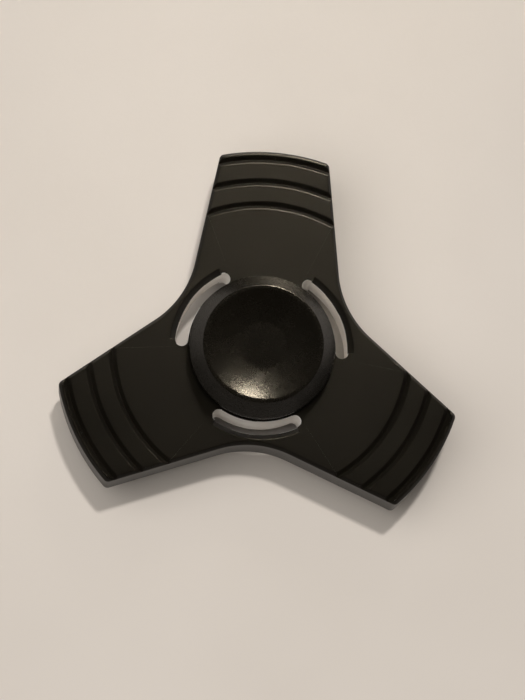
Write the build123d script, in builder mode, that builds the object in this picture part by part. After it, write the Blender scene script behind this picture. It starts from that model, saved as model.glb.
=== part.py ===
from build123d import *
from math import asin, atan2, cos, degrees, hypot, radians, sin, sqrt
import os

# A three-arm fidget spinner. Its frame spins on a 608-size ball bearing, and the two dished
# caps that a thumb and a finger hold are joined through the bearing by a threaded stud.
# Millimetres, +Z up along the spin axis, one arm along +Y, and the origin on the spin axis
# in the plane of the lower cap's rim, on which the spinner stands.

os.makedirs("parts", exist_ok=True)

# ---- bearing ----
bore_diameter = 8.0
ring_diameter = 22.0
bearing_width = 7.0
ring_corner = 0.3
ball_diameter = 3.969
ball_count = 7
race_clearance = 0.02  # between a ball and the bottom of each raceway
race_conformity = 0.52  # the raceway's radius over the ball's diameter
race_shoulder = 0.6  # height of a ring's land over the bottom of its raceway

# ---- ball cage, two pressed ribbons held by rivets ----
cage_sheet = 0.35
cage_width = 2.1  # of the ribbon, along the radius
pocket_clearance = 0.08
rivet_shank_diameter = 0.7
rivet_head_diameter = 1.15
rivet_head_height = 0.28

# ---- shields and their wire clips ----
shield_sheet = 0.35
shield_cage_gap = 0.19
shield_seat_width = 0.8  # the step that the shield rests on
shield_gap = 0.3  # between the shield's bore and the inner ring
shield_clearance = 0.05  # round the shield, in its seat
clip_wire = 0.4
clip_opening = 34.0  # degrees
clip_clearance = 0.02

# ---- frame ----
frame_thickness = 7.0
arm_count = 3
tip_radius = 33.7
tip_width = 18.2
tip_corner = 0.9
valley_fillet = 16.0
edge_chamfer = 0.5
bore_chamfer = 0.3
hub_wall = 1.2  # between the bearing and the slots
slot_width = 2.0
slot_half_angle = 32.5  # degrees, to the slot's very end
slot_chamfer = 0.9
rim_land = 0.45  # flat between a slot's chamfer and the edge chamfer of the valley
groove_count = 3
groove_pitch = 3.95
groove_width = 1.25
groove_depth = 0.6
groove_margin = 0.3  # flat between the last groove and the edge chamfer of the tip

# ---- caps and stud ----
cap_diameter = 23.9
cap_height = 4.2  # of the rim, above the frame's face
cap_edge_height = 1.55  # of the top of the cap's straight edge, above the frame's face
cap_gap = 0.6  # under the cap's flange
dish_diameter = 18.5
dish_depth = 1.7
dish_rim_width = 0.5
dish_rim_round = 0.16
cap_edge_round = 0.12
shoulder_step = 0.6  # how far the seat on the inner ring stays inside its land
spigot_clearance = 0.02
spigot_length = 3.2
stud_diameter = 5.0
stud_length = 9.2
stud_point = 0.6
stud_hole_clearance = 0.35  # beyond the stud's end

# ---- heights and radii that follow ----
deck_height = max(frame_thickness, bearing_width) / 2  # above the middle, of what the caps must clear
mid_height = cap_height + deck_height
cap_base = mid_height + deck_height
bearing_top = mid_height + bearing_width / 2
ball_radius = ball_diameter / 2
pitch_radius = (bore_diameter + ring_diameter) / 4
race_radius = race_conformity * ball_diameter
race_bottom = ball_radius + race_clearance  # from the pitch circle
inner_land = pitch_radius - race_bottom + race_shoulder
outer_land = pitch_radius + race_bottom - race_shoulder
pocket_radius = ball_radius + pocket_clearance
shield_depth = bearing_width / 2 - pocket_radius - cage_sheet - shield_cage_gap - shield_sheet
shield_seat_radius = outer_land + shield_seat_width
shield_seat_depth = shield_depth + shield_sheet
clip_radius = shield_seat_radius + clip_wire / 4
clip_depth = shield_depth - clip_wire / 2
ball_step = 360 / ball_count


def at_angle(radius, angle):
    return (radius * cos(radians(angle)), radius * sin(radians(angle)))


# ---- bearing rings, each with one deep raceway ----
def ring_section(inner, outer, race_centre):
    with BuildSketch(Plane.XZ) as section:
        with Locations(((inner + outer) / 2, mid_height)):
            Rectangle(outer - inner, bearing_width)
        fillet(section.vertices(), ring_corner)
        with Locations((race_centre, mid_height)):
            Circle(race_radius, mode=Mode.SUBTRACT)
    return section.sketch


inner_race_centre = pitch_radius - race_bottom + race_radius
outer_race_centre = pitch_radius + race_bottom - race_radius

with BuildPart() as bearing_inner_ring:
    add(ring_section(bore_diameter / 2, inner_land, inner_race_centre))
    revolve(axis=Axis.Z)

with BuildPart() as bearing_outer_ring:
    add(ring_section(outer_land, ring_diameter / 2, outer_race_centre))
    revolve(axis=Axis.Z)
    with BuildSketch(Plane.XZ):
        for side in (1, -1):
            face = mid_height + side * bearing_width / 2
            with Locations(((outer_land + shield_seat_radius) / 2, face - side * shield_seat_depth / 2)):
                Rectangle(shield_seat_width, shield_seat_depth)
            with Locations((clip_radius, face - side * clip_depth)):
                Circle(clip_wire / 2 + clip_clearance)
    revolve(axis=Axis.Z, mode=Mode.SUBTRACT)


# ---- balls ----
ball_places = [at_angle(pitch_radius, 90 + step * ball_step) for step in range(ball_count)]
balls = []
for number, (x, y) in enumerate(ball_places, start=1):
    with BuildPart() as ball:
        with Locations((x, y, mid_height)):
            Sphere(ball_radius)
    ball.part.label = f"ball_{number}"
    balls.append(ball)


# ---- cage: the upper ribbon, its mirror image below, and the rivets ----
with BuildPart() as cage_upper_half:
    with Locations(*[(x, y, mid_height) for x, y in ball_places]):
        Sphere(pocket_radius + cage_sheet)
    with BuildSketch(Plane.XY.offset(mid_height)):
        Circle(pitch_radius + cage_width / 2)
        Circle(pitch_radius - cage_width / 2, mode=Mode.SUBTRACT)
    extrude(amount=pocket_radius + cage_sheet, mode=Mode.INTERSECT)
    with BuildSketch(Plane.XY.offset(mid_height)):
        Circle(pitch_radius + cage_width / 2)
        Circle(pitch_radius - cage_width / 2, mode=Mode.SUBTRACT)
    extrude(amount=cage_sheet)
    with Locations(*[(x, y, mid_height) for x, y in ball_places]):
        Sphere(pocket_radius, mode=Mode.SUBTRACT)
    with BuildSketch(Plane.XY.offset(mid_height)):
        with PolarLocations(pitch_radius, ball_count, start_angle=90 + ball_step / 2):
            Circle(rivet_shank_diameter / 2)
    extrude(amount=cage_sheet, mode=Mode.SUBTRACT)

with BuildPart() as cage_lower_half:
    mirror(cage_upper_half.part, about=Plane.XY.offset(mid_height))

with BuildPart() as cage_rivets:
    with BuildSketch(Plane.XY.offset(mid_height)):
        with PolarLocations(pitch_radius, ball_count, start_angle=90 + ball_step / 2):
            Circle(rivet_shank_diameter / 2)
    extrude(amount=cage_sheet, both=True)
    for side in (1, -1):
        with BuildSketch(Plane.XY.offset(mid_height + side * cage_sheet)):
            with PolarLocations(pitch_radius, ball_count, start_angle=90 + ball_step / 2):
                Circle(rivet_head_diameter / 2)
        extrude(amount=side * rivet_head_height)
    heads = cage_rivets.edges().filter_by(GeomType.CIRCLE)
    head_rims = heads.group_by(Axis.Z)[0] + heads.group_by(Axis.Z)[-1]
    fillet(head_rims, rivet_head_height / 2)


# ---- shields, each an annular disc with a pressed bead, and the clips that hold them ----
def shield_section(side):
    outer_face = mid_height + side * (bearing_width / 2 - shield_depth)
    shield_bore = inner_land + shield_gap
    shield_edge = shield_seat_radius - shield_clearance
    bead_start = shield_bore + shield_sheet * 2
    bead_end = outer_land - shield_sheet
    bead_rise = side * shield_sheet / 2
    with BuildSketch(Plane.XZ) as section:
        with BuildLine():
            Polyline(
                (shield_bore, outer_face),
                (bead_start, outer_face),
                (bead_start + shield_sheet / 2, outer_face + bead_rise),
                (bead_end - shield_sheet / 2, outer_face + bead_rise),
                (bead_end, outer_face),
                (shield_edge, outer_face),
                (shield_edge, outer_face - side * shield_sheet),
                (shield_bore, outer_face - side * shield_sheet),
                close=True,
            )
        make_face()
    return section.sketch


def clip_turn(side):
    wire_height = mid_height + side * (bearing_width / 2 - clip_depth)
    with BuildSketch(Plane.XZ) as section:
        with Locations((clip_radius, wire_height)):
            Circle(clip_wire / 2)
    return section.sketch


with BuildPart() as upper_shield:
    add(shield_section(1))
    revolve(axis=Axis.Z)

with BuildPart() as lower_shield:
    add(shield_section(-1))
    revolve(axis=Axis.Z)

with BuildPart() as upper_shield_clip:
    add(clip_turn(1))
    revolve(axis=Axis.Z, revolution_arc=360 - clip_opening)

with BuildPart() as lower_shield_clip:
    add(clip_turn(-1))
    revolve(axis=Axis.Z, revolution_arc=360 - clip_opening)


# ---- frame ----
slot_inner = ring_diameter / 2 + hub_wall
slot_outer = slot_inner + slot_width
slot_middle = (slot_inner + slot_outer) / 2
valley_radius = slot_outer + slot_chamfer + rim_land + edge_chamfer
half_arm = 180 / arm_count

# The side of an arm runs straight from the tip's corner until it touches the valley's arc.
tip_half_angle = degrees(asin(tip_width / 2 / tip_radius))
corner = Vector(*at_angle(tip_radius, 90 - tip_half_angle))
valley_centre = Vector(*at_angle(valley_radius + valley_fillet, 90 - half_arm))
to_centre = valley_centre - corner
side_length = sqrt(to_centre.length**2 - valley_fillet**2)
side_direction = to_centre.normalized().rotate(
    Axis.Z, degrees(asin(valley_fillet / to_centre.length)) * -1
)
touch = corner + side_direction * side_length
touch_radius = touch.length
touch_angle = 90 - degrees(atan2(touch.Y, touch.X))

with BuildPart() as frame_body:
    with BuildSketch(Plane.XY.offset(mid_height)) as outline:
        with BuildLine():
            for arm in range(arm_count):
                middle = 90 + arm * 2 * half_arm
                tip_start = at_angle(tip_radius, middle - tip_half_angle)
                tip_end = at_angle(tip_radius, middle + tip_half_angle)
                valley_start = at_angle(touch_radius, middle + touch_angle)
                valley_end = at_angle(touch_radius, middle + 2 * half_arm - touch_angle)
                next_corner = at_angle(tip_radius, middle + 2 * half_arm - tip_half_angle)
                ThreePointArc(tip_start, at_angle(tip_radius, middle), tip_end)
                Line(tip_end, valley_start)
                ThreePointArc(valley_start, at_angle(valley_radius, middle + half_arm), valley_end)
                Line(valley_end, next_corner)
        make_face()
        tip_corners = outline.vertices().sort_by(lambda v: hypot(v.X, v.Y))[-2 * arm_count :]
        fillet(tip_corners, tip_corner)
    extrude(amount=frame_thickness / 2, both=True)
    rims = frame_body.faces().filter_by(Axis.Z).edges()
    chamfer(rims, edge_chamfer)

    # the bearing's bore
    with BuildSketch(Plane.XY.offset(mid_height)):
        Circle(ring_diameter / 2)
    extrude(amount=frame_thickness / 2, both=True, mode=Mode.SUBTRACT)
    bore_rims = frame_body.edges().filter_by(
        lambda e: e.geom_type == GeomType.CIRCLE and abs(e.radius - ring_diameter / 2) < ring_corner
    )
    chamfer(bore_rims, bore_chamfer)

    # three arc slots in the valleys, with a wide chamfer on their outer walls
    slot_sweep = slot_half_angle - degrees(slot_width / 2 / slot_middle)
    with BuildSketch(Plane.XY.offset(mid_height)):
        for arm in range(arm_count):
            middle = 90 + half_arm + arm * 2 * half_arm
            with BuildLine(mode=Mode.PRIVATE) as slot_line:
                CenterArc((0, 0), slot_middle, middle - slot_sweep, 2 * slot_sweep)
            SlotArc(slot_line.edges()[0], slot_width)
    extrude(amount=frame_thickness / 2, both=True, mode=Mode.SUBTRACT)
    with BuildSketch(Plane.XZ) as slot_chamfers:
        for side in (1, -1):
            face = mid_height + side * frame_thickness / 2
            with BuildLine():
                Polyline(
                    (slot_middle, face),
                    (slot_outer + slot_chamfer, face),
                    (slot_outer, face - side * slot_chamfer),
                    (slot_middle, face - side * slot_chamfer),
                    close=True,
                )
            make_face()
    for arm in range(arm_count):
        middle = 90 + half_arm + arm * 2 * half_arm
        add(slot_chamfers.sketch.rotate(Axis.Z, middle - slot_sweep))
        revolve(axis=Axis.Z, revolution_arc=2 * slot_sweep, mode=Mode.SUBTRACT)

    # grooves across each arm, one V cutter swept round the axis for each pitch
    last_groove = tip_radius - edge_chamfer - groove_margin - groove_width / 2
    with BuildSketch(Plane.XZ):
        for groove in range(groove_count):
            radius = last_groove - groove * groove_pitch
            for side in (1, -1):
                face = mid_height + side * frame_thickness / 2
                with BuildLine():
                    Polyline(
                        (radius - groove_width / 2, face),
                        (radius + groove_width / 2, face),
                        (radius, face - side * groove_depth),
                        close=True,
                    )
                make_face()
    revolve(axis=Axis.Z, mode=Mode.SUBTRACT)


# ---- caps ----
dish_radius = dish_diameter / 2
dish_curve = (dish_radius**2 + dish_depth**2) / (2 * dish_depth)
stud_hole_depth = stud_length / 2 + stud_hole_clearance

with BuildPart() as upper_cap:
    with BuildSketch(Plane.XZ) as cap_section:
        rim_height = cap_base + cap_height
        rim_radius = dish_radius + dish_rim_width
        edge_height = cap_base + cap_edge_height
        spigot_radius = bore_diameter / 2 - spigot_clearance
        half_dish = asin(dish_radius / dish_curve) / 2
        half_way = (
            dish_curve * sin(half_dish),
            rim_height - dish_depth + dish_curve * (1 - cos(half_dish)),
        )
        with BuildLine():
            ThreePointArc((0, rim_height - dish_depth), half_way, (dish_radius, rim_height))
            Polyline(
                (dish_radius, rim_height),
                (rim_radius, rim_height),
                (cap_diameter / 2, edge_height),
                (cap_diameter / 2, cap_base + cap_gap),
                (inner_land - shoulder_step, cap_base + cap_gap),
                (inner_land - shoulder_step, bearing_top),
                (spigot_radius, bearing_top),
                (spigot_radius, bearing_top - spigot_length),
                (0, bearing_top - spigot_length),
                (0, rim_height - dish_depth),
            )
        make_face()
        rim_corners = cap_section.vertices().group_by(Axis.Y)[-1]
        fillet(rim_corners, dish_rim_round)
        edge_corners = cap_section.vertices().group_by(Axis.X)[-1]
        fillet(edge_corners, cap_edge_round)
    revolve(axis=Axis.Z)
    with BuildSketch(Plane.XY.offset(mid_height)):
        Circle(stud_diameter / 2)
    extrude(amount=stud_hole_depth, mode=Mode.SUBTRACT)

with BuildPart() as lower_cap:
    mirror(upper_cap.part, about=Plane.XY.offset(mid_height))

with BuildPart() as cap_stud:
    with BuildSketch(Plane.XY.offset(mid_height)):
        Circle(stud_diameter / 2)
    extrude(amount=stud_length / 2, both=True)
    chamfer(cap_stud.edges().filter_by(GeomType.CIRCLE), stud_point)


# ---- labels and files ----
pieces = {
    "frame_body": frame_body,
    "bearing_outer_ring": bearing_outer_ring,
    "bearing_inner_ring": bearing_inner_ring,
    "cage_upper_half": cage_upper_half,
    "cage_lower_half": cage_lower_half,
    "cage_rivets": cage_rivets,
    "upper_shield": upper_shield,
    "lower_shield": lower_shield,
    "upper_shield_clip": upper_shield_clip,
    "lower_shield_clip": lower_shield_clip,
    "upper_cap": upper_cap,
    "lower_cap": lower_cap,
    "cap_stud": cap_stud,
}
pieces.update({ball.part.label: ball for ball in balls})
for name, piece in pieces.items():
    piece.part.label = name
    export_step(piece.part, f"parts/{name}.step")

print("arm taper", round(degrees(atan2(touch.X - corner.X, corner.Y - touch.Y)), 2), "degrees")
print("valley radius", round(valley_radius, 2), "overall height", round(cap_base + cap_height, 2))
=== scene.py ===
import bpy
import bmesh
from math import asin, atan2, cos, degrees, hypot, radians, sin, sqrt
from mathutils import Matrix, Vector


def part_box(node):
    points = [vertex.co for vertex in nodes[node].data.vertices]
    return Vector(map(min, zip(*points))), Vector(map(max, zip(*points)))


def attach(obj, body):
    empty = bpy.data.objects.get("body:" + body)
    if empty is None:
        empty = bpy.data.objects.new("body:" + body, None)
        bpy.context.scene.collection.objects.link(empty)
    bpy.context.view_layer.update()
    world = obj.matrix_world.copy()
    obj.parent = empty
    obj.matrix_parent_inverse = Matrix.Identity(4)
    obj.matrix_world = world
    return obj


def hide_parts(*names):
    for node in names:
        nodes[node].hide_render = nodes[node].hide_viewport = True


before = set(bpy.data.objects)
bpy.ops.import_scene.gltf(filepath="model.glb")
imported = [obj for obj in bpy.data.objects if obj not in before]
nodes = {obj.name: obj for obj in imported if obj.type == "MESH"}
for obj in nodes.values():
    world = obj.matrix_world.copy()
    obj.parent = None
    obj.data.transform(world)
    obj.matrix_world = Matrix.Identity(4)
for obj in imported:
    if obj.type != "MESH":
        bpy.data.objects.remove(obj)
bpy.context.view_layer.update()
mm = 0.001
# pieces are drawn in millimetres about the middle of the bearing, then lifted to this height
middle = sum(corner.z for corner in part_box("frame_body")) / 2 / mm
print("frame loaded,", len(nodes), "nodes, middle at", round(middle, 3))


class Pen:
    # draws a line from corner to corner, and arcs that turn about a centre on the pen's axis
    def __init__(self, start, axis):
        self.bm = bmesh.new()
        self.axis = Vector(axis)
        self.first = self.tip = self.bm.verts.new(start)

    def line(self, *spots):
        for spot in spots:
            grown = bmesh.ops.extrude_vert_indiv(self.bm, verts=[self.tip])
            self.tip = grown["verts"][0]
            self.tip.co = spot
        return self

    def arc(self, centre, angle, steps):
        swept = bmesh.ops.spin(
            self.bm, geom=[self.tip], cent=centre, axis=self.axis, angle=radians(angle), steps=steps)
        self.tip = next(g for g in swept["geom_last"] if isinstance(g, bmesh.types.BMVert))
        return self

    def close(self):
        self.bm.edges.new((self.tip, self.first))
        return self


def sectionPen(x, z):
    return Pen((x, 0, z), (0, 1, 0))


def weld(bm, gap=0.0005):
    bmesh.ops.remove_doubles(bm, verts=bm.verts[:], dist=gap)
    bmesh.ops.recalc_face_normals(bm, faces=bm.faces[:])
    return bm


def turned(bm, steps):
    # a section turned right round the spin axis
    bmesh.ops.spin(
        bm, geom=bm.verts[:] + bm.edges[:], cent=(0, 0, 0), axis=(0, 0, 1), angle=radians(360),
        steps=steps, use_merge=True)
    return weld(bm)


def copiesRound(bm, count):
    bmesh.ops.spin(
        bm, geom=bm.verts[:] + bm.edges[:] + bm.faces[:], cent=(0, 0, 0), axis=(0, 0, 1),
        angle=radians(360), steps=count, use_duplicate=True)
    return weld(bm)


def raised(bm, low, high):
    # a flat outline filled and drawn up into a solid
    bmesh.ops.contextual_create(bm, geom=bm.edges[:])
    bmesh.ops.translate(bm, vec=(0, 0, low), verts=bm.verts[:])
    grown = bmesh.ops.extrude_face_region(bm, geom=bm.faces[:])
    bmesh.ops.translate(
        bm, vec=(0, 0, high - low), verts=[g for g in grown["geom"] if isinstance(g, bmesh.types.BMVert)])
    return weld(bm)


def ringEdges(bm, radius, height, gap=0.01):
    def near(vert):
        return abs(hypot(vert.co.x, vert.co.y) - radius) < gap and abs(vert.co.z - height) < gap
    return [e for e in bm.edges if near(e.verts[0]) and near(e.verts[1])]


def soften(bm, edges, size, segments=3):
    bmesh.ops.bevel(
        bm, geom=edges, offset=size, offset_type="OFFSET", segments=segments, profile=0.5,
        affect="EDGES", material=-1, clamp_overlap=False)


def objectOf(bm, name):
    mesh = bpy.data.meshes.new(name)
    bm.to_mesh(mesh)
    bm.free()
    made = bpy.data.objects.new(name, mesh)
    bpy.context.scene.collection.objects.link(made)
    return made


def applyAll(made):
    # the modifiers' result becomes the mesh
    old = made.data
    graph = bpy.context.evaluated_depsgraph_get()
    made.data = bpy.data.meshes.new_from_object(made.evaluated_get(graph), depsgraph=graph)
    made.modifiers.clear()
    bpy.data.meshes.remove(old)
    made.data.name = made.name
    return made


# a face counts as level from this upright part of its normal, and large faces lead the shading by this weight
shading = {"level": 0.99, "weight": 60}


def flattenFlats(mesh):
    # level faces shade as true planes right up to their edges
    normals = [corner.vector.copy() for corner in mesh.corner_normals]
    for face in mesh.polygons:
        if abs(face.normal.z) > shading["level"]:
            for corner in face.loop_indices:
                normals[corner] = Vector((0, 0, 1 if face.normal.z > 0 else -1))
    mesh.normals_split_custom_set(normals)


def settle(made, body, replaced, paints):
    # shading, place, finish, and the body that the piece moves with
    made.data.shade_smooth()
    weights = made.modifiers.new("faceWeights", "WEIGHTED_NORMAL")
    weights.keep_sharp = True
    weights.weight = shading["weight"]
    applyAll(made)
    flattenFlats(made.data)
    made.data.transform(Matrix.Scale(mm, 4) @ Matrix.Translation((0, 0, middle)))
    for paint in paints:
        made.data.materials.append(paint)
    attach(made, body)
    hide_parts(*replaced)
    return made


class Wire:
    # a shader socket that takes Python's operators
    def __init__(self, tree, socket):
        self.tree, self.socket = tree, socket

    def maths(self, operation, first, second=0.0):
        return newNode(self.tree, "Math", {"operation": operation}, {0: first, 1: second})

    def __add__(self, other): return self.maths("ADD", self, other)
    def __radd__(self, other): return self.maths("ADD", other, self)
    def __sub__(self, other): return self.maths("SUBTRACT", self, other)
    def __rsub__(self, other): return self.maths("SUBTRACT", other, self)
    def __mul__(self, other): return self.maths("MULTIPLY", self, other)
    def __rmul__(self, other): return self.maths("MULTIPLY", other, self)
    def __truediv__(self, other): return self.maths("DIVIDE", self, other)
    def __pow__(self, other): return self.maths("POWER", self, other)


def newNode(tree, kind, settings=None, sockets=None, out=0):
    # settings come first, because some of them change which sockets the node has
    node = tree.nodes.new("ShaderNode" + kind)
    for key, value in (settings or {}).items():
        setattr(node, key, value)
    for key, value in (sockets or {}).items():
        if isinstance(value, Wire):
            tree.links.new(value.socket, node.inputs[key])
        else:
            node.inputs[key].default_value = value
    return Wire(tree, node.outputs[out]) if node.outputs else None


class Paint:
    def __init__(self, name):
        self.material = bpy.data.materials.new(name)
        self.material.use_nodes = True
        self.tree = self.material.node_tree
        self.tree.nodes.clear()
        self.place = self.add("TexCoord", out="Object")

    def add(self, kind, settings=None, sockets=None, out=0):
        return newNode(self.tree, kind, settings, sockets, out)

    def noise(self, size, detail=2.0, roughness=0.5, vector=None):
        # size is the width of a grain, in millimetres
        return self.add("TexNoise", {}, {
            "Vector": vector or self.place, "Scale": 1 / (size * mm), "Detail": detail,
            "Roughness": roughness}, "Fac")

    def spread(self, value, low, high, newLow, newHigh):
        return self.add("MapRange", {"clamp": True}, {
            "Value": value, "From Min": low, "From Max": high,
            "To Min": newLow, "To Max": newHigh}, "Result")

    def blend(self, factor, first, second):
        def colour(value):
            return value if isinstance(value, Wire) else (*value, 1.0)
        return self.add("Mix", {"data_type": "RGBA"}, {
            0: factor, 6: colour(first), 7: colour(second)}, 2)

    def bump(self, height, depth, strength=1.0, under=None):
        # depth is in millimetres
        sockets = {"Height": height, "Distance": depth * mm, "Strength": strength}
        if under:
            sockets["Normal"] = under
        return self.add("Bump", {}, sockets)

    def polar(self):
        # distance from the spin axis, angle round it, and height
        parts = self.add("SeparateXYZ", {}, {"Vector": self.place}).socket.node
        x, y, z = (Wire(self.tree, parts.outputs[i]) for i in range(3))
        return (x * x + y * y) ** 0.5, y.maths("ARCTAN2", y, x), z

    def finish(self, **sockets):
        surface = self.add("BsdfPrincipled", {}, {
            key.replace("_", " "): value for key, value in sockets.items()})
        self.add("OutputMaterial", {}, {"Surface": surface})
        return self.material


# black anodised, bead-blasted aluminium
anodise = {
    "black": (0.0036, 0.0030, 0.0020), "faded": (0.0060, 0.0050, 0.0034), "roughness": 0.40,
    "blast": 0.16, "blastDepth": 0.006, "blastSheen": 0.08, "pits": 0.42, "pitDepth": 0.012,
    "cloud": 9.0, "smudge": 3.2, "smudgeSheen": 0.10,
}


def anodisedPaint(name, s):
    p = Paint(name)
    cloud = p.noise(s["cloud"], 3.0)
    smudge = p.noise(s["smudge"], 4.0, 0.6)
    blast = p.noise(s["blast"], 2.0)
    pits = p.noise(s["pits"], 1.0)
    colour = p.blend(p.spread(cloud, 0.35, 0.7, 0.0, 1.0), s["black"], s["faded"])
    rough = s["roughness"] + (smudge - 0.5) * s["smudgeSheen"] + (blast - 0.5) * s["blastSheen"]
    coarse = p.bump(pits, s["pitDepth"])
    fine = p.bump(blast, s["blastDepth"], 1.0, coarse)
    return p.finish(Base_Color=colour, Roughness=rough, IOR=1.5, Normal=fine)


# bare aluminium where the slots were milled after the black finish
milled = {
    "bright": (0.95, 0.93, 0.90), "dull": (0.88, 0.85, 0.81), "metal": 0.15, "roughness": 0.5,
    "feed": 0.14, "feedDepth": 0.004, "feedSheen": 0.16, "stain": 2.5,
}


def milledPaint(name, s):
    p = Paint(name)
    radius, angle, height = p.polar()
    feed = p.add("CombineXYZ", {}, {0: angle * 0.0006, 1: radius * 0.1, 2: height})
    lines = p.noise(s["feed"], 2.0, 0.6, feed)
    colour = p.blend(p.spread(p.noise(s["stain"]), 0.35, 0.65, 0.0, 1.0), s["bright"], s["dull"])
    rough = s["roughness"] + (lines - 0.5) * s["feedSheen"]
    marks = p.bump(lines, s["feedDepth"])
    return p.finish(Base_Color=colour, Metallic=s["metal"], Roughness=rough, Normal=marks)


# steels of the bearing and the stud
def steelPaint(name, colour, shade, roughness, lay, depth):
    # lay: width of the grinding lines round the axis, in millimetres
    p = Paint(name)
    radius, angle, height = p.polar()
    round_ = p.add("CombineXYZ", {}, {0: radius, 1: angle * 0.0004, 2: height})
    lines = p.noise(lay, 3.0, 0.6, round_)
    spots = p.noise(1.6, 3.0, 0.6)
    paint = p.blend(p.spread(spots, 0.3, 0.7, 0.0, 1.0), colour, shade)
    rough = roughness + (lines - 0.5) * 0.14 + (spots - 0.5) * 0.08
    return p.finish(Base_Color=paint, Metallic=1.0, Roughness=rough, Normal=p.bump(lines, depth))


framePaint = anodisedPaint("frameAnodise", anodise)
capPaint = anodisedPaint("capAnodise", {**anodise, "roughness": 0.27, "pits": 0.30, "pitDepth": 0.020})
slotPaint = milledPaint("slotWalls", milled)
ringPaint = steelPaint("groundSteel", (0.60, 0.60, 0.61), (0.54, 0.54, 0.55), 0.24, 0.09, 0.003)
ballPaint = steelPaint("polishedSteel", (0.76, 0.76, 0.78), (0.70, 0.70, 0.72), 0.10, 0.3, 0.0005)
cagePaint = steelPaint("pressedStrip", (0.53, 0.51, 0.48), (0.44, 0.42, 0.40), 0.40, 0.25, 0.004)
rivetPaint = steelPaint("rivetSteel", (0.50, 0.49, 0.47), (0.42, 0.41, 0.40), 0.36, 0.2, 0.004)
shieldPaint = steelPaint("shieldSteel", (0.62, 0.62, 0.63), (0.55, 0.55, 0.56), 0.28, 0.12, 0.003)
wirePaint = steelPaint("springWire", (0.40, 0.39, 0.38), (0.32, 0.31, 0.30), 0.34, 0.08, 0.003)
studPaint = steelPaint("studSteel", (0.45, 0.44, 0.42), (0.36, 0.35, 0.33), 0.32, 0.08, 0.003)
print("finishes made")


# the three-armed frame
frameBody = {
    "thickness": 7.0, "arms": 3, "tipRadius": 33.7, "tipWidth": 18.2, "tipCorner": 0.9,
    "valleyRadius": 16.05, "valleyFillet": 16.0, "edgeChamfer": 0.5, "boreRadius": 11.0,
    "boreChamfer": 0.3, "slotInner": 12.2, "slotOuter": 14.2, "slotHalfAngle": 32.5,
    "slotChamfer": 0.9, "grooves": (24.375, 28.325, 32.275), "grooveWidth": 1.25,
    "grooveDepth": 0.6, "lip": 0.11, "lipSteps": 3, "over": 1.0,
}


def frameSector(s, high):
    # half an arm, from the middle of its tip to the middle of the valley
    halfArm = 180 / s["arms"]
    tipAngle = asin(s["tipWidth"] / 2 / s["tipRadius"])
    corner = Vector((sin(tipAngle), cos(tipAngle), 0)) * s["tipRadius"]
    valleyAngle = radians(90 - halfArm)
    valleyOut = s["valleyRadius"] + s["valleyFillet"]
    valley = Vector((cos(valleyAngle), sin(valleyAngle), 0)) * valleyOut
    reach = valley - corner
    side = Matrix.Rotation(-asin(s["valleyFillet"] / reach.length), 3, "Z") @ reach.normalized()
    touch = corner + side * sqrt(reach.length**2 - s["valleyFillet"]**2)
    inward = Vector((side.y, -side.x, 0))
    start = corner + inward * s["tipCorner"]
    along = start.dot(side)
    slip = -along - sqrt(along**2 - start.length_squared + (s["tipRadius"] - s["tipCorner"])**2)
    round_ = start + side * slip
    roundAngle = degrees(atan2(round_.y, round_.x))
    sideAngle = degrees(atan2(-inward.y, -inward.x))
    pen = Pen((0, s["tipRadius"], 0), (0, 0, 1))
    pen.arc((0, 0, 0), roundAngle - 90, 20)
    pen.arc(round_, sideAngle - roundAngle, 8)
    pen.line(touch)
    pen.arc(valley, 90 - halfArm - sideAngle, 16)
    pen.line((0, 0, 0)).close()
    bm = raised(weld(pen.bm), -high, high)
    rims = [e for e in bm.edges if abs(e.verts[0].co.z - e.verts[1].co.z) < 0.001
            and min(hypot(v.co.x, v.co.y) for v in e.verts) > 1]
    soften(bm, rims, s["edgeChamfer"], 1)
    return weld(bm)


def boreCutter(s, high):
    r, c, over = s["boreRadius"], s["boreChamfer"], s["over"]
    pen = sectionPen(0, -high - over)
    pen.line((r + c + over, 0, -high - over), (r, 0, c - high), (r, 0, high - c),
             (r + c + over, 0, high + over), (0, 0, high + over))
    return turned(pen.bm, 180)


def slotCutter(s, high):
    centreRadius = (s["slotInner"] + s["slotOuter"]) / 2
    endRadius = (s["slotOuter"] - s["slotInner"]) / 2
    sweep = s["slotHalfAngle"] - degrees(endRadius / centreRadius)
    ends = [Vector((cos(a), sin(a), 0)) for a in (radians(270 - sweep), radians(270 + sweep))]
    pen = Pen(ends[0] * s["slotInner"], (0, 0, 1))
    pen.arc((0, 0, 0), 2 * sweep, 36).arc(ends[1] * centreRadius, -180, 14)
    pen.arc((0, 0, 0), -2 * sweep, 36).arc(ends[0] * centreRadius, -180, 14)
    weld(pen.bm)
    return copiesRound(raised(pen.bm, -high - s["over"], high + s["over"]), s["arms"]), sweep


def slotChamferCutter(s, high, sweep):
    inner, outer = (s["slotInner"] + s["slotOuter"]) / 2, s["slotOuter"]
    c, over = s["slotChamfer"], s["over"]
    pen = sectionPen(inner, high + over)
    pen.line((outer + c + over, 0, high + over), (outer, 0, high - c), (inner, 0, high - c)).close()
    bm = pen.bm
    bmesh.ops.rotate(
        bm, verts=bm.verts[:], cent=(0, 0, 0), matrix=Matrix.Rotation(radians(270 - sweep), 3, "Z"))
    bmesh.ops.spin(
        bm, geom=bm.verts[:] + bm.edges[:], cent=(0, 0, 0), axis=(0, 0, 1),
        angle=radians(2 * sweep), steps=36)
    bmesh.ops.holes_fill(bm, edges=bm.edges[:], sides=0)
    weld(bm)
    bmesh.ops.mirror(
        bm, geom=bm.verts[:] + bm.edges[:] + bm.faces[:], matrix=Matrix.Identity(4), axis="Z")
    return copiesRound(bm, s["arms"])


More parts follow.
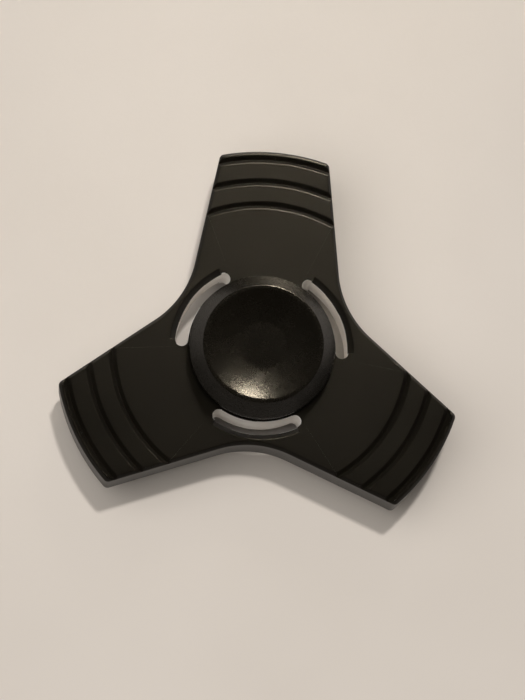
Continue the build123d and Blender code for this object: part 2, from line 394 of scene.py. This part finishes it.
def grooveCutter(s, high, radius):
    half, deep, over = s["grooveWidth"] / 2, s["grooveDepth"], s["over"]
    wide = half * (1 + over / deep)
    pen = sectionPen(radius - wide, high + over)
    pen.line((radius, 0, high - deep), (radius + wide, 0, high + over)).close()
    bm = turned(pen.bm, 480)
    bmesh.ops.mirror(
        bm, geom=bm.verts[:] + bm.edges[:] + bm.faces[:], matrix=Matrix.Identity(4), axis="Z")
    return weld(bm)


def cut(made, cutters):
    for number, bm in enumerate(cutters):
        tool = objectOf(bm, f"cutter{number}")
        hole = made.modifiers.new(tool.name, "BOOLEAN")
        hole.operation, hole.solver, hole.object = "DIFFERENCE", "EXACT", tool
        applyAll(made)
        bpy.data.objects.remove(tool)


def makeFrame(s):
    high = s["thickness"] / 2
    made = objectOf(frameSector(s, high), "frameBody")
    slots, sweep = slotCutter(s, high)
    cut(made, [boreCutter(s, high), slots] + [grooveCutter(s, high, r) for r in s["grooves"]]
        + [slotChamferCutter(s, high, sweep)])
    # the sector's two cut sides go, then it is mirrored and repeated
    valleyAngle = radians(90 - 180 / s["arms"])
    valleySide = Vector((-sin(valleyAngle), cos(valleyAngle), 0))
    bm = bmesh.new()
    bm.from_mesh(made.data)
    weld(bm, 0.003)
    sides = [f for f in bm.faces if all(abs(v.co.x) < 0.001 for v in f.verts)
             or all(abs(v.co.dot(valleySide)) < 0.001 for v in f.verts)]
    bmesh.ops.delete(bm, geom=sides, context="FACES")
    bmesh.ops.mirror(
        bm, geom=bm.verts[:] + bm.edges[:] + bm.faces[:], matrix=Matrix.Identity(4),
        merge_dist=0.001, axis="X")
    copiesRound(bm, s["arms"])
    weld(bm, 0.002)
    for face in bm.faces:
        spot = face.calc_center_median()
        inSlot = s["slotInner"] - 0.1 < hypot(spot.x, spot.y) < s["slotOuter"] + 0.1
        face.material_index = int(inSlot and abs(face.normal.z) < 0.3)
    print("open edges", sum(len(e.link_faces) != 2 for e in bm.edges))
    bm.to_mesh(made.data)
    bm.free()
    lips = made.modifiers.new("lips", "BEVEL")
    lips.limit_method, lips.angle_limit = "ANGLE", radians(25)
    lips.width, lips.segments, lips.use_clamp_overlap = s["lip"], s["lipSteps"], False
    applyAll(made)
    return settle(made, "spinner", ["frame_body"], [framePaint, slotPaint])


frameObject = makeFrame(frameBody)
print("frame body,", len(frameObject.data.polygons), "faces")


# the two thumb caps; heights are above the middle of the bearing
cap = {
    "flange": 11.95, "underside": 4.1, "edgeTop": 5.05, "rim": 9.75, "rimTop": 7.7, "dish": 9.25,
    "dishFloor": 6.0, "shoulder": 5.4955, "seat": 3.5, "spigot": 3.98, "spigotEnd": 0.3,
    "stud": 2.5, "studEnd": 4.95, "rimRound": 0.17, "edgeRound": 0.14,
    "spigotRound": 0.25, "studRound": 0.2, "dishSteps": 22, "steps": 216,
}


def makeCap(s, side, name, replaced):
    rise = s["rimTop"] - s["dishFloor"]
    curve = (s["dish"]**2 + rise**2) / (2 * rise)
    pen = sectionPen(0, s["dishFloor"])
    pen.arc((0, 0, s["dishFloor"] + curve), -degrees(asin(s["dish"] / curve)), s["dishSteps"])
    # from the rim out to the flange, under it to the seat on the inner ring, down the spigot, up the stud's hole
    pen.line(*((s[radius] if radius else 0, 0, s[height]) for radius, height in (
        ("rim", "rimTop"), ("flange", "edgeTop"), ("flange", "underside"), ("shoulder", "underside"),
        ("shoulder", "seat"), ("spigot", "seat"), ("spigot", "spigotEnd"), ("stud", "spigotEnd"),
        ("stud", "studEnd"), (None, "studEnd"))))
    bm = turned(pen.bm, s["steps"])
    for radius, height, size, segments in (
            (s["dish"], s["rimTop"], s["rimRound"], 4), (s["rim"], s["rimTop"], s["rimRound"], 4),
            (s["flange"], s["edgeTop"], s["edgeRound"], 3), (s["flange"], s["underside"], s["edgeRound"], 3),
            (s["spigot"], s["spigotEnd"], s["spigotRound"], 2), (s["stud"], s["spigotEnd"], s["studRound"], 1)):
        soften(bm, ringEdges(bm, radius, height), size, segments)
    if side < 0:
        bmesh.ops.scale(bm, vec=(1, 1, -1), verts=bm.verts[:])
    return settle(objectOf(weld(bm), name), "hub", [replaced], [capPaint])


for side, name, replaced in ((1, "upperCap", "upper_cap"), (-1, "lowerCap", "lower_cap")):
    print(name, len(makeCap(cap, side, name, replaced).data.polygons), "faces")

# the bearing and the stud keep their own shapes and get finishes here
for name, paint in {
        "bearing_outer_ring": ringPaint, "bearing_inner_ring": ringPaint, "cap_stud": studPaint,
        "cage_upper_half": cagePaint, "cage_lower_half": cagePaint, "cage_rivets": rivetPaint,
        "upper_shield": shieldPaint, "lower_shield": shieldPaint,
        "upper_shield_clip": wirePaint, "lower_shield_clip": wirePaint,
        **{f"ball_{number}": ballPaint for number in range(1, 8)}}.items():
    nodes[name].data.materials.clear()
    nodes[name].data.materials.append(paint)
print("bearing finished")


# the pale table
table = {
    "size": 6.0, "warm": (0.695, 0.65, 0.60), "cool": (0.66, 0.615, 0.565), "roughness": 0.55,
    "patch": 60.0, "sheen": 12.0, "sheenRange": 0.1, "grain": 0.8, "grainDepth": 0.01,
}


def makeTable(s):
    bm = bmesh.new()
    bmesh.ops.create_grid(bm, x_segments=1, y_segments=1, size=s["size"] / 2)
    made = objectOf(bm, "tableTop")
    p = Paint("tablePaint")
    colour = p.blend(p.spread(p.noise(s["patch"], 3.0), 0.35, 0.65, 0.0, 1.0), s["warm"], s["cool"])
    rough = s["roughness"] + (p.noise(s["sheen"], 3.0) - 0.5) * s["sheenRange"]
    grain = p.bump(p.noise(s["grain"], 3.0), s["grainDepth"])
    made.data.materials.append(p.finish(Base_Color=colour, Roughness=rough, Normal=grain))


makeTable(table)
print("table made")

# studio light: a dim room, one small lamp nearly overhead, a broad soft fill from the left and a narrow
# card low down behind the top arm, which shows only as a sheen on the black finish
light = {
    "roomLow": (0.008, 0.007, 0.005), "roomHigh": (0.085, 0.073, 0.056), "roomStrength": 1.0,
    "lamp": {"power": 6.1, "size": 0.07, "place": (0.085, 0.315, 1.08), "aim": (0, 0, 0), "beam": 180.0,
             "colour": (1.0, 0.96, 0.925)},
    "fill": {"power": 9.2, "size": 1.3, "place": (-0.45, -0.10, 0.98), "aim": (0, 0, 0), "beam": 180.0,
             "colour": (1.0, 0.96, 0.92)},
    "card": {"power": 0.040, "size": 0.10, "place": (0.03, 0.22, 0.135), "aim": (-0.002, 0.068, 0.011),
             "beam": 15.0, "colour": (1.0, 0.86, 0.64)},
}


def makeLamp(name, s, onlyGloss):
    data = bpy.data.lights.new(name, "AREA")
    data.energy, data.size, data.color, data.spread = s["power"], s["size"], s["colour"], radians(s["beam"])
    made = bpy.data.objects.new(name, data)
    made.location = s["place"]
    made.rotation_euler = (Vector(s["place"]) - Vector(s["aim"])).to_track_quat("Z", "Y").to_euler()
    made.visible_glossy, made.visible_diffuse, made.visible_camera = onlyGloss, not onlyGloss, False
    bpy.context.scene.collection.objects.link(made)


def makeRoom(s):
    # darker at the front of the room than at the back
    world = bpy.data.worlds.new("room")
    world.use_nodes = True
    tree = world.node_tree
    ray = newNode(tree, "TexCoord", out=0).socket.node.outputs["Generated"]
    toBack = newNode(tree, "VectorMath", {"operation": "DOT_PRODUCT"}, {
        0: Wire(tree, ray), 1: (0.25, 0.97, 0.0)}, "Value")
    level = newNode(tree, "MapRange", {"interpolation_type": "SMOOTHSTEP"}, {
        "Value": toBack, "From Min": -0.5, "From Max": 0.9}, "Result")
    shade = newNode(tree, "Mix", {"data_type": "RGBA"}, {
        0: level, 6: (*s["roomLow"], 1.0), 7: (*s["roomHigh"], 1.0)}, 2)
    back = tree.nodes["Background"]
    tree.links.new(shade.socket, back.inputs["Color"])
    back.inputs["Strength"].default_value = s["roomStrength"]
    bpy.context.scene.world = world


makeLamp("lamp", light["lamp"], False)
makeLamp("fill", light["fill"], False)
makeLamp("card", light["card"], True)
makeRoom(light)
bpy.context.scene.view_settings.view_transform = "Standard"
print("lights made")

# the camera looks down from the front, a little from the left
camera = {
    "azimuth": -15.0, "elevation": 77.0, "distance": 0.45, "lens": 141.3, "upright": 86.0,
    "aim": (0.15, -0.2),
}


def makeCamera(s):
    data = bpy.data.cameras.new("camera")
    data.lens, data.sensor_width = s["lens"], 36.0
    data.clip_start, data.clip_end = 0.01, 20.0
    made = bpy.data.objects.new("camera", data)
    a, e = radians(s["azimuth"]), radians(s["elevation"])
    back = Vector((sin(a) * cos(e), -cos(a) * cos(e), sin(e)))
    target = Vector((s["aim"][0] * mm, s["aim"][1] * mm, (middle + frameBody["thickness"] / 2) * mm))
    # the top arm stands at this angle in the picture
    arm = Vector((0, 1, 0))
    arm = (arm - back * arm.dot(back)).normalized()
    right = Matrix.Rotation(radians(-s["upright"]), 3, back) @ arm
    up = back.cross(right)
    turn = Matrix((right, up, back)).transposed().to_4x4()
    made.matrix_world = Matrix.Translation(target + back * s["distance"]) @ turn
    bpy.context.scene.collection.objects.link(made)
    bpy.context.scene.camera = made


makeCamera(camera)
print("camera made")
